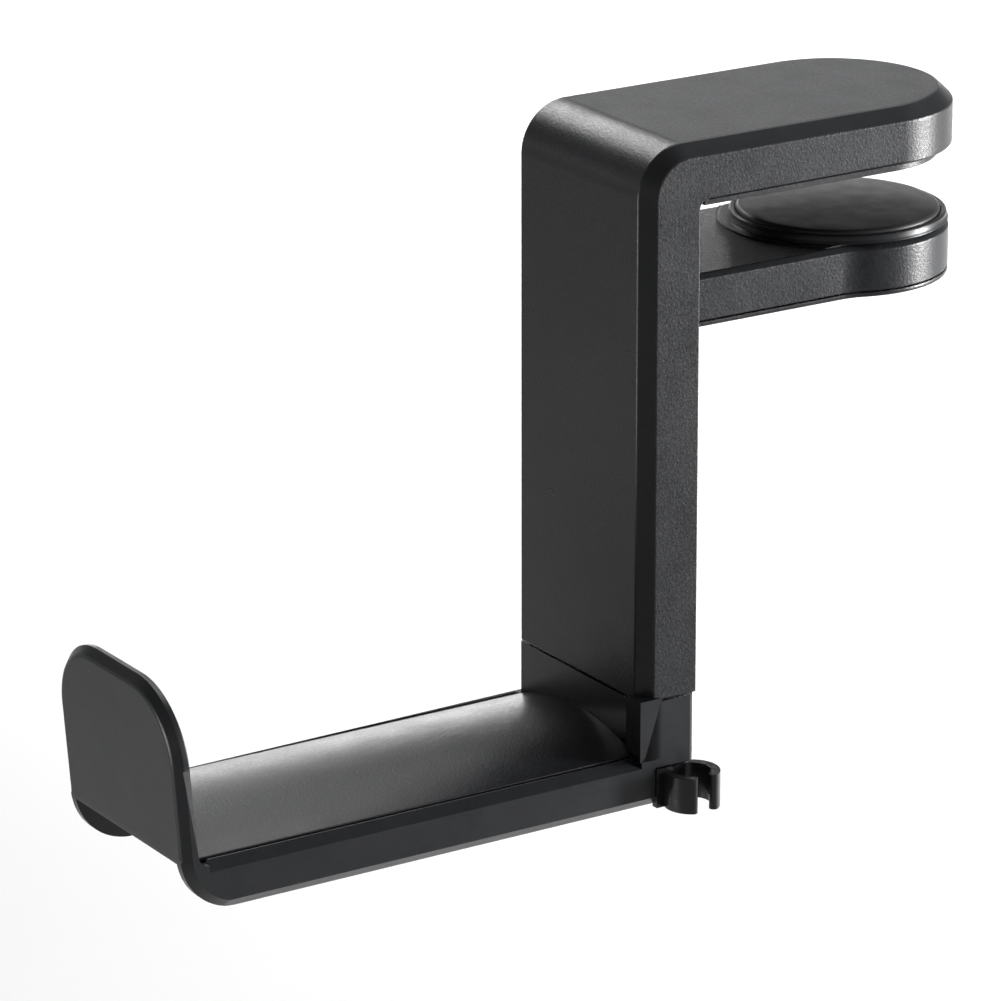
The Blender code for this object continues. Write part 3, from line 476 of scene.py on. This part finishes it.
def floor_material():
    material, n = new_nodes("pale_floor")
    n.set("Base Color", n.blend(n.noise(3, 3, 0.5), (0.90, 0.90, 0.90), (0.94, 0.94, 0.94)))
    n.set("Roughness", n.spread(n.noise(14, 3, 0.5), 0.3, 0.7, 0.82, 0.9))
    n.set("Specular IOR Level", 0.1)
    return material


GRAINED = moulded("moulding_grained", (0.006, 0.0066, 0.008), (0.013, 0.0137, 0.0165), 0.345, 2100, 0.00006, 0.42)
SMOOTHER = moulded("moulding_fine", (0.006, 0.0066, 0.0078), (0.010, 0.0107, 0.0128), 0.33, 5200, 0.000014, 0.42)
INSIDE = moulded("inner_plastic", (0.05, 0.052, 0.056), (0.075, 0.077, 0.082), 0.5, 2600, 0.00003)
GLOSSY = moulded("clip_plastic", (0.009, 0.009, 0.010), (0.011, 0.011, 0.0125), 0.2, 900, 0.000002)
RUBBER = rubber_material("pad_rubber", (0.010, 0.010, 0.0105), 0.42)
STEEL = metal_material("turned_steel", (0.58, 0.58, 0.60), 0.28, (60, 60, 9000))
BLACKENED = metal_material("black_steel", (0.07, 0.07, 0.075), 0.36, (900, 900, 900))
BRASS = metal_material("brass", (0.76, 0.56, 0.26), 0.28, (300, 300, 5000))
ACETAL = moulded("acetal", (0.66, 0.65, 0.60), (0.80, 0.79, 0.74), 0.42, 1800, 0.00001)


# ---- column ----


def column_solid():
    tip = HALF + REACH
    side = [(BACK_Y, SEAM_Z), (FRONT_Y, SEAM_Z)]
    side += arc((FRONT_Y + CORNER_R, TOP_Z - CORNER_R), CORNER_R, 180, 90, 28)
    side += [(tip, TOP_Z), (tip, UNDERSIDE_Z)]
    side += arc((BACK_Y + THROAT_R, UNDERSIDE_Z - THROAT_R), THROAT_R, 90, 180, 10)
    plan = stadium(HALF, FRONT_Y - REACH, HALF)
    bm = boolean(prism(side, -HALF, HALF, SIDE), "INTERSECT", prism(plan, SEAM_Z - REACH, TOP_Z + REACH, PLAN))

    def on_rim(point):
        round_end = point.y > 0 and math.hypot(point.x, point.y) > HALF * 0.995
        return round_end or abs(abs(point.x) - HALF) < 2 * MERGE

    def outer_face(point):
        corner = math.hypot(point.y - FRONT_Y - CORNER_R, point.z - TOP_Z + CORNER_R)
        on_corner = corner > CORNER_R * 0.99 and point.z > TOP_Z - CORNER_R and point.y < FRONT_Y + CORNER_R
        return point.y < FRONT_Y + 2 * MERGE or point.z > TOP_Z - 2 * MERGE or on_corner

    def rear_corner(point):
        return abs(point.y - BACK_Y) < 2 * MERGE and on_rim(point) and point.z < -THROAT_R

    def lower_rim(point):
        return on_rim(point) and abs(point.z - UNDERSIDE_Z) < 2 * MERGE and point.y > BACK_Y + THROAT_R

    def same_side(edge):
        return edge.verts[0].co.x * edge.verts[1].co.x > -MERGE * MERGE

    soften(bm, lambda e: same_side(e) and along(e, on_rim) and along(e, outer_face), CHAMFER)
    soften(bm, lambda e: same_side(e) and along(e, rear_corner), REAR_R, 8)
    soften(bm, lambda e: same_side(e) and along(e, lower_rim), 0.35 * MM, 2)
    return bm


def column():
    bm = column_solid()
    soften(bm, lambda e: math.radians(25) < e.calc_face_angle() < math.radians(100), EDGE, 3)
    recess = box(
        (REAR_LOW.x - GAP, FRONT_Y + 2.2 * MM, REAR_LOW.z - GAP),
        (REAR_HIGH.x + GAP, BACK_Y + REACH, REAR_HIGH.z + GAP),
    )
    underside = prism(
        stadium(HALF - WALL, BACK_Y + WALL, HALF - WALL), -REACH, UNDERSIDE_Z + 2.4 * MM, PLAN
    )
    bm = cut(bm, recess, underside)
    shell = piece("column_skin", bm, "column", GRAINED, ["column_shell"])
    shell.data.materials.append(SMOOTHER)
    half_root = math.sqrt(0.5)
    for face in shell.data.polygons:
        x, y, z = face.normal
        flat = abs(abs(x) - 1) < 0.02 or (face.center.y > 0 and abs(z) < 0.05)
        band = abs(math.hypot(y, z) - half_root) < 0.08 and abs(abs(x) - half_root) < 0.08
        end_band = face.center.y > 0 and abs(z - half_root) < 0.08
        if (band or end_band) and not flat:
            face.material_index = 1


def rear_cover():
    slot_x = TONGUE_HALF + GAP
    bm = box(REAR_LOW, REAR_HIGH)
    soften(bm, lambda e: abs(e.verts[0].co.y - e.verts[1].co.y) > MM, 0.8 * MM, 4)
    bm = cut(bm, box((-slot_x, REAR_LOW.y - REACH, -55.6 * MM), (slot_x, REAR_HIGH.y + REACH, -6.45 * MM)))
    for i in (1, 2, 3, 4):
        low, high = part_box(f"rear_cover_screw_{i}")
        x, z = (low.x + high.x) / 2, (low.z + high.z) / 2
        radius = (high.x - low.x) / 2
        bm = cut(bm, rod(radius + GAP, (x, BACK_Y - 0.9 * MM, z), (x, BACK_Y + REACH, z)))
    piece("rear_cover_skin", bm, "column", GRAINED, ["rear_cover"], 0.15 * MM, 50)


def crossed_screw(name, node, body, outward):
    """Pan-head screw with a cross recess; outward is the direction its head faces."""
    low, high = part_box(node)
    outward = Vector(outward)
    middle = (low + high) / 2
    reach = abs((high - low).dot(outward)) / 2
    face = middle + outward * reach
    tip = middle - outward * reach
    radius = 1.7 * MM
    head = rod(radius, face - outward * 0.5 * MM, face, 48)
    shank = rod(0.8 * MM, face - outward * 0.4 * MM, tip, 24, 0.55 * MM)
    bm = boolean(head, "UNION", shank)
    across = Vector((1, 0, 0))
    other = outward.cross(across)
    for a, b in ((across, other), (other, across)):
        corner = a * 1.0 * MM + b * 0.22 * MM + outward * 0.42 * MM
        low_corner = Vector(min(face[i] - abs(corner[i]), face[i] + abs(corner[i])) for i in range(3))
        high_corner = Vector(max(face[i] - abs(corner[i]), face[i] + abs(corner[i])) for i in range(3))
        bm = cut(bm, box(low_corner, high_corner))
    return piece(name, bm, body, BLACKENED, [node], 0.1 * MM, 50, 2)


def upper_pad():
    recess = UPPER_PAD_HIGH.x
    bm = prism(stadium(recess, UPPER_PAD_LOW.y, UPPER_PAD_HIGH.y), 0.0, UPPER_PAD_HIGH.z, PLAN)
    piece("upper_pad_skin", bm, "column", RUBBER, ["upper_pad"], 0.25 * MM, 50)


# ---- hook ----


def plate_line(offset):
    direction = Vector((-math.sin(PLATE_LEAN), math.cos(PLATE_LEAN)))
    inward = Vector((math.cos(PLATE_LEAN), math.sin(PLATE_LEAN)))
    return Vector(PLATE_FOOT) + inward * offset, direction


def plate_point(offset, z):
    foot, direction = plate_line(offset)
    return (foot.x + direction.x * (z - foot.y) / direction.y, z)


def hook_frame():
    lean = math.degrees(PLATE_LEAN)
    toe = plate_point(PLATE_THICK + TOE_R, RAIL_TOP_Z - TOE_DROP + TOE_R)
    heel = plate_point(HEEL_R, RAIL_BOTTOM_Z + HEEL_R)
    side = [(NECK_BACK_Y, NECK_TOP_Z), (FRONT_Y, NECK_TOP_Z), (FRONT_Y, RAIL_TOP_Z)]
    side += [(toe[0] + TOE_DROP, RAIL_TOP_Z)]
    side += arc(toe, TOE_R, 270, 180 + lean, 12)
    side += [plate_point(PLATE_THICK, PLATE_TOP_Z), plate_point(0.0, PLATE_TOP_Z)]
    side += arc(heel, HEEL_R, 180 + lean, 270, 24)
    side += [(NECK_BACK_Y, RAIL_BOTTOM_Z)]
    corner_x, corner_z = HALF - PLATE_CORNER_R, PLATE_TOP_Z - PLATE_CORNER_R
    front = [(-HALF, RAIL_BOTTOM_Z - REACH), (HALF, RAIL_BOTTOM_Z - REACH)]
    front += arc((corner_x, corner_z), PLATE_CORNER_R, 0, 90, 32)
    front += arc((-corner_x, corner_z), PLATE_CORNER_R, 90, 180, 32)
    view = prism(front, HOOK_LOW.y - REACH, NECK_BACK_Y + REACH, FACE)
    bm = boolean(prism(side, -HALF, HALF, SIDE), "INTERSECT", view)

    def on_side(point):
        return abs(abs(point.x) - HALF) < 2 * MERGE

    def on_plate(offset):
        return lambda point: abs(point.y - plate_point(offset, point.z)[0]) < 4 * MERGE

    outer_plate = on_plate(0.0)
    inner_plate = on_plate(PLATE_THICK)

    def under(point):
        away = math.hypot(point.y - heel[0], point.z - heel[1])
        on_heel = point.y < heel[0] and point.z < heel[1] and abs(away - HEEL_R) < 0.06 * MM
        return on_heel or point.z < RAIL_BOTTOM_Z + 2 * MERGE

    def rim(edge):
        same = edge.verts[0].co.x * edge.verts[1].co.x > 0
        sides = same and along(edge, on_side) and along(edge, lambda p: outer_plate(p) or under(p))
        crown = along(edge, outer_plate) and along(edge, lambda p: p.z > corner_z - MERGE)
        return sides or crown

    def inner_rim(edge):
        above = along(edge, lambda p: p.z > RAIL_TOP_Z + TOE_R * 1.1)
        return above and along(edge, inner_plate)

    def outer_rim(edge):
        return edge.calc_face_angle() > math.radians(20) and along(edge, outer_plate)

    soften(bm, rim, RIM)
    soften(bm, outer_rim, RIM_ROUNDING, 5)
    soften(bm, inner_rim, INNER_RIM, 3)
    soften(bm, lambda e: along(e, lambda p: on_side(p) and abs(p.y - NECK_BACK_Y) < 2 * MERGE), NECK_REAR_R, 8)
    between = box(
        (-RAIL_INNER_X, HOOK_LOW.y - REACH, RAIL_BOTTOM_Z - REACH), (RAIL_INNER_X, FRONT_Y, PLATE_FOOT[1])
    )
    below = RAIL_BOTTOM_Z - REACH
    notch = rod(CLIP_R + GAP, (*CLIP_CENTRE, below), (*CLIP_CENTRE, CLIP_RING_TOP_Z + GAP), 96)
    seat = box(
        (CLIP_SEAT_X, CLIP_SEAT_Y, below), (HALF + REACH, NECK_BACK_Y + REACH, CLIP_HIGH.z + GAP)
    )
    cap_low, cap_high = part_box("neck_cap")
    pocket = box(
        (cap_low.x - GAP, cap_low.y - GAP, below), (cap_high.x + GAP, cap_high.y + GAP, cap_low.z + 4 * MM)
    )
    lip_x = HALF - LIP_WIDTH
    channel_top = RAIL_TOP_Z + TOE_R
    channel = [plate_point(PLATE_THICK, CHANNEL_Z), (FRONT_Y, CHANNEL_Z), (FRONT_Y, channel_top)]
    channel += [plate_point(PLATE_THICK, channel_top)]
    above_neck, past_neck, past_plate = NECK_TOP_Z + REACH, NECK_BACK_Y + REACH, HOOK_LOW.y - REACH
    edges = [
        corner_wedge((HALF, FRONT_Y), (-1, 1), CHAMFER, RAIL_TOP_Z, above_neck, PLAN),
        corner_wedge((HALF, RAIL_BOTTOM_Z), (-1, 1), RAIL_CHAMFER, past_plate, past_neck, FACE),
        corner_wedge((HALF, RAIL_TOP_Z), (-1, -1), LIP_CHAMFER, toe[0], FRONT_Y, FACE),
    ]
    bm = cut(bm, between, prism(channel, -lip_x, lip_x, SIDE), pocket, notch, seat)
    for wedge in edges:
        bm = cut(bm, mirrored(wedge))
    piece("hook_skin", bm, "hook", SMOOTHER, ["hook_frame"], 0.14 * MM, 25)


def saddle():
    """Arch between the rails, parted from their narrow lips by a fine groove."""
    centre = (0.0, SADDLE_TOP_Z - SADDLE_R)
    reach_x = HALF - LIP_WIDTH - SADDLE_GROOVE
    spread = math.degrees(math.asin(reach_x / SADDLE_R))
    outline = arc(centre, SADDLE_R, 90 - spread, 90 + spread, 72)
    outline += arc(centre, SADDLE_R - SADDLE_THICK, 90 + spread, 90 - spread, 48)
    start = plate_point(PLATE_THICK, CHANNEL_Z)[0] - 0.1 * MM
    bm = prism(outline, start, FRONT_Y + 0.1 * MM, FACE)
    piece("saddle_skin", bm, "hook", GRAINED, edge=0.18 * MM, smooth=30)


def cable_clip():
    centre_x, centre_y = CLIP_CENTRE
    inner = CLIP_R - CLIP_WALL
    middle = CLIP_R - CLIP_WALL / 2
    tip = math.degrees(math.asin((CLIP_MOUTH / 2 + CLIP_WALL / 2) / middle))
    ring = arc(CLIP_CENTRE, CLIP_R, tip, 360 - tip, 120)
    for start, sign in ((360 - tip, 1), (tip, -1)):
        angle = math.radians(start)
        end = (centre_x + middle * math.cos(angle), centre_y + middle * math.sin(angle))
        cap = arc(end, CLIP_WALL / 2, start, start + 180, 12)
        if sign < 0:
            cap = arc(end, CLIP_WALL / 2, start + 180, start + 360, 12)
            ring += arc(CLIP_CENTRE, inner, 360 - tip, tip, 100)[1:-1] + cap[:-1]
        else:
            ring += cap[1:]
    bm = prism(ring, CLIP_LOW.z, CLIP_RING_TOP_Z, PLAN)
    plate = box(
        (CLIP_LOW.x + 2.4 * MM, CLIP_SEAT_Y + 0.1 * MM, CLIP_LOW.z),
        (HALF + 0.35 * MM, centre_y - inner * 0.9, CLIP_HIGH.z),
    )
    bm = boolean(bm, "UNION", plate)
    piece("cable_clip_skin", bm, "hook", GLOSSY, ["cable_clip"], 0.32 * MM, 40)


# ---- lower jaw ----


def lower_jaw():
    top = JAW_HIGH.z
    bm = prism(jaw_outline(0.0), JAW_LOW.z, top, PLAN)
    soften(bm, lambda e: along(e, lambda p: p.z > top - MERGE), 0.9 * MM, 1)
    soften(bm, lambda e: e.calc_face_angle() > math.radians(25) and along(e, lambda p: p.z > top - MM), 0.2 * MM, 3)
    soften(bm, lambda e: along(e, lambda p: p.z < JAW_LOW.z + MERGE), 0.1 * MM, 2)
    opening = TONGUE_HALF + GAP
    tongue = box(
        (-opening, JAW_LOW.y - REACH, JAW_LOW.z - REACH), (opening, JAW_LOW.y + 3 * MM, -16.5 * MM)
    )
    bm = cut(bm, tongue)
    piece("lower_jaw_skin", bm, "jaw", GRAINED, ["lower_jaw"])


def lower_jaw_cover():
    low, high = JAW_COVER_LOW.z, JAW_LOW.z - GAP
    bm = prism(jaw_outline(0.0), low, high, PLAN)
    soften(bm, lambda e: along(e, lambda p: p.z < low + MERGE), 0.35 * MM, 2)
    soften(bm, lambda e: along(e, lambda p: p.z > high - MERGE), 0.1 * MM, 2)
    for i in (1, 2, 3):
        node_low, node_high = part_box(f"lower_jaw_screw_{i}")
        x, y = (node_low.x + node_high.x) / 2, (node_low.y + node_high.y) / 2
        bm = cut(bm, rod(2.0 * MM, (x, y, low - REACH), (x, y, low + 0.7 * MM)))
    piece("lower_jaw_cover_skin", bm, "jaw", GRAINED, ["lower_jaw_cover"])


def collar():
    """Low flared step on the jaw's neck, round the pad."""
    base = JAW_HIGH.z
    flare = [(0.0, base + 0.25 * MM), (19.4 * MM, base + 0.25 * MM)]
    flare += arc((20.6 * MM, base + 1.5 * MM), 1.3 * MM, 250, 285, 4)
    flare += [(20.9 * MM, base - 0.2 * MM), (0.0, base - 0.2 * MM)]
    inside = prism(jaw_outline(1.2 * MM), base - REACH, base + REACH, PLAN)
    bm = boolean(turned(flare, (0.0, HEAD_Y), 120), "INTERSECT", inside)
    piece("jaw_collar_skin", bm, "jaw", SMOOTHER, smooth=50)


def pads():
    low, rim = CARRIER_LOW.z, CARRIER_HIGH.z
    profile = [(0.0, low + 0.8 * MM), (PAD_R + 0.12 * MM, low + 0.8 * MM), (PAD_R + 0.12 * MM, rim - 0.25 * MM)]
    profile += arc((PAD_R + 0.35 * MM, rim - 0.25 * MM), 0.23 * MM, 180, 90, 4)
    profile += arc((CARRIER_R - 0.35 * MM, rim - 0.35 * MM), 0.35 * MM, 90, 0, 6)
    profile += [(CARRIER_R, low + 0.45 * MM), (CARRIER_R + 0.25 * MM, low + 0.2 * MM)]
    profile += [(CARRIER_R + 0.3 * MM, low), (0.0, low)]
    bm = turned(profile, (0.0, HEAD_Y), 144)
    piece("pad_carrier_skin", bm, "jaw", SMOOTHER, ["pad_carrier"], smooth=50)
    top = PAD_HIGH.z
    rows = [(0.0, top)]
    for i in range(1, 9):
        radius = (PAD_R - 1.6 * MM) * i / 8
        rows.append((radius, top - 0.22 * MM * (i / 8) ** 2))
    rows += arc((PAD_R - 0.75 * MM, top - 1.0 * MM), 0.75 * MM, 78, 0, 8)
    rows += [(PAD_R, PAD_LOW.z), (0.0, PAD_LOW.z)]
    piece("lower_pad_skin", turned(rows, (0.0, HEAD_Y), 144), "jaw", RUBBER, ["lower_pad"], smooth=50)


# ---- lead screw ----


def lead_screw():
    """Trapezoidal thread, as a fine grid along the screw."""
    radius, depth, lead, around = 2.5 * MM, 0.5 * MM, 3.0 * MM, 48
    low, high = -79.5 * MM, -1.0 * MM
    steps = 18
    count = round((high - low) / lead * steps)
    levels = [SCREW_LOW.z, -87.3 * MM, low]
    levels += [low + (high - low) * i / count for i in range(1, count)]
    levels += [high, high + 0.1 * MM, SCREW_HIGH.z]
    bm = bmesh.new()
    loops = []
    for z in levels:
        loop = []
        for i in range(around):
            angle = math.tau * i / around
            r = radius
            if low < z < high:
                phase = (z / lead - i / around) % 1.0
                slope = min(1.0, max(0.0, (0.5 - abs(phase - 0.5)) * 8 - 1.2))
                r = radius - depth * (1 - slope) if phase < 1 else radius
                r = max(r, radius - depth)
            elif z >= high:
                r = 1.5 * MM
            elif z < -87 * MM:
                r = 2.2 * MM
            loop.append(bm.verts.new((r * math.cos(angle), AXIS_Y + r * math.sin(angle), z)))
        loops.append(loop)
    for lower, upper in zip(loops, loops[1:]):
        for i in range(around):
            j = (i + 1) % around
            bm.faces.new((lower[i], lower[j], upper[j], upper[i]))
    bm.faces.new(list(reversed(loops[0])))
    bm.faces.new(loops[-1])
    piece("lead_screw_skin", bm, "hook", STEEL, ["lead_screw"], smooth=40)


def carriage():
    low, high = CARRIAGE_LOW, CARRIAGE_HIGH
    block_back = -44.0 * MM
    bm = box((low.x, low.y, low.z), (high.x, block_back, high.z))
    nut_low, nut_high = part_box("drive_nut")
    window = box(
        (nut_low.x - GAP, low.y - REACH, nut_low.z - GAP), (nut_high.x + GAP, block_back + REACH, nut_high.z + GAP)
    )
    bore = rod(2.85 * MM, (0, AXIS_Y, low.z - REACH), (0, AXIS_Y, high.z + REACH))
    tongue = box((-TONGUE_HALF, block_back - 0.8 * MM, -20.5 * MM), (TONGUE_HALF, high.y, -16.8 * MM))
    bm = cut(bm, window, bore)
    bm = boolean(bm, "UNION", tongue)
    piece("carriage_skin", bm, "jaw", INSIDE, ["jaw_carriage"], 0.25 * MM, 50, 2)


def dress_packed_nodes():
    """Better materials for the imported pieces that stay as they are."""
    finishes = {"brass": BRASS, "acetal": ACETAL, "screw_steel": STEEL, "black_steel": BLACKENED}
    finishes.update({"moulding": GRAINED, "inner_plastic": INSIDE, "rubber": RUBBER, "clip_plastic": GLOSSY})
    for entry in frame["record"]["subparts"]:
        node = frame["nodes"][entry["node"]]
        node.data.materials.clear()
        node.data.materials.append(finishes[entry["material_slot"]])


# ---- studio ----


def aimed(thing, place, target, roll=0.0):
    place, target = Vector(place), Vector(target)
    back = (place - target).normalized()
    right = Vector((0, 0, 1)).cross(back).normalized()
    up = back.cross(right)
    across = right * math.cos(roll) + up * math.sin(roll)
    upward = -right * math.sin(roll) + up * math.cos(roll)
    turn = Matrix((across, upward, back)).transposed().to_4x4()
    thing.matrix_world = Matrix.Translation(place) @ turn
    return thing


def soft_light(name, place, target, width, height, power, spread=180):
    light = bpy.data.lights.new(name, "AREA")
    light.shape = "RECTANGLE"
    light.size = width
    light.size_y = height
    light.energy = power
    light.spread = math.radians(spread)
    thing = bpy.data.objects.new(name, light)
    bpy.context.scene.collection.objects.link(thing)
    thing.visible_camera = False
    return aimed(thing, place, target)


def studio():
    scene = bpy.context.scene
    scene.view_settings.view_transform = "Standard"
    scene.view_settings.look = "None"
    world = bpy.data.worlds.new("studio")
    world.use_nodes = True
    background = world.node_tree.nodes["Background"]
    background.inputs["Color"].default_value = (1.0, 1.0, 1.0, 1.0)
    coords = world.node_tree.nodes.new("ShaderNodeTexCoord").outputs["Generated"]
    split = world.node_tree.nodes.new("ShaderNodeSeparateXYZ")
    fall = world.node_tree.nodes.new("ShaderNodeMapRange")
    fall.inputs["From Min"].default_value = 0.04
    fall.inputs["From Max"].default_value = 0.14
    fall.inputs["To Min"].default_value = 0.9
    fall.inputs["To Max"].default_value = 0.19
    world.node_tree.links.new(coords, split.inputs["Vector"])
    world.node_tree.links.new(split.outputs["Z"], fall.inputs["Value"])
    world.node_tree.links.new(fall.outputs["Result"], background.inputs["Strength"])
    scene.world = world
    bm = bmesh.new()
    bmesh.ops.create_grid(bm, x_segments=2, y_segments=2, size=12.0)
    mesh = bpy.data.meshes.new("studio_floor")
    bm.to_mesh(mesh)
    bm.free()
    floor = bpy.data.objects.new("studio_floor", mesh)
    floor.location.z = -0.32
    floor.data.materials.append(floor_material())
    scene.collection.objects.link(floor)
    middle = (0.0, -0.05, -0.03)
    soft_light("overhead", (-0.95, 1.03, 0.87), (-0.95, 1.0301, -0.32), 2.0, 1.7, 22, 110)
    soft_light("left_box", (-1.1, 0.10, 0.74), middle, 0.75, 0.26, 0.95, 60)
    soft_light("rear_left_box", (-1.5, 0.95, 0.0), (0.0, -0.09, -0.09), 1.0, 0.16, 0.33, 40)
    soft_light("right_strip", (0.45, 0.77, -0.02), (0.0, 0.0, -0.02), 0.12, 0.5, 1.9, 50)
    soft_light("front_low", (-0.12, -0.8, -0.19), (0.0, -0.1, -0.09), 0.25, 0.22, 0.3, 70)
    camera = bpy.data.objects.new("camera", bpy.data.cameras.new("camera"))
    scene.collection.objects.link(camera)
    camera.data.lens = 203.77
    camera.data.sensor_width = 36.0
    camera.data.clip_start = 0.01
    camera.data.clip_end = 50.0
    camera_place = (759.487 * MM, -552.912 * MM, 252.99 * MM)
    aimed(camera, camera_place, (-9.592 * MM, -61.847 * MM, -56.001 * MM), math.radians(-0.101))
    scene.camera = camera


dress_packed_nodes()
column()
rear_cover()
upper_pad()
for number in (1, 2, 3, 4):
    crossed_screw(f"rear_screw_skin_{number}", f"rear_cover_screw_{number}", "column", (0, 1, 0))
hook_frame()
saddle()
cable_clip()
lead_screw()
lower_jaw()
lower_jaw_cover()
collar()
pads()
carriage()
for number in (1, 2, 3):
    crossed_screw(f"jaw_screw_skin_{number}", f"lower_jaw_screw_{number}", "jaw", (0, 0, -1))
studio()
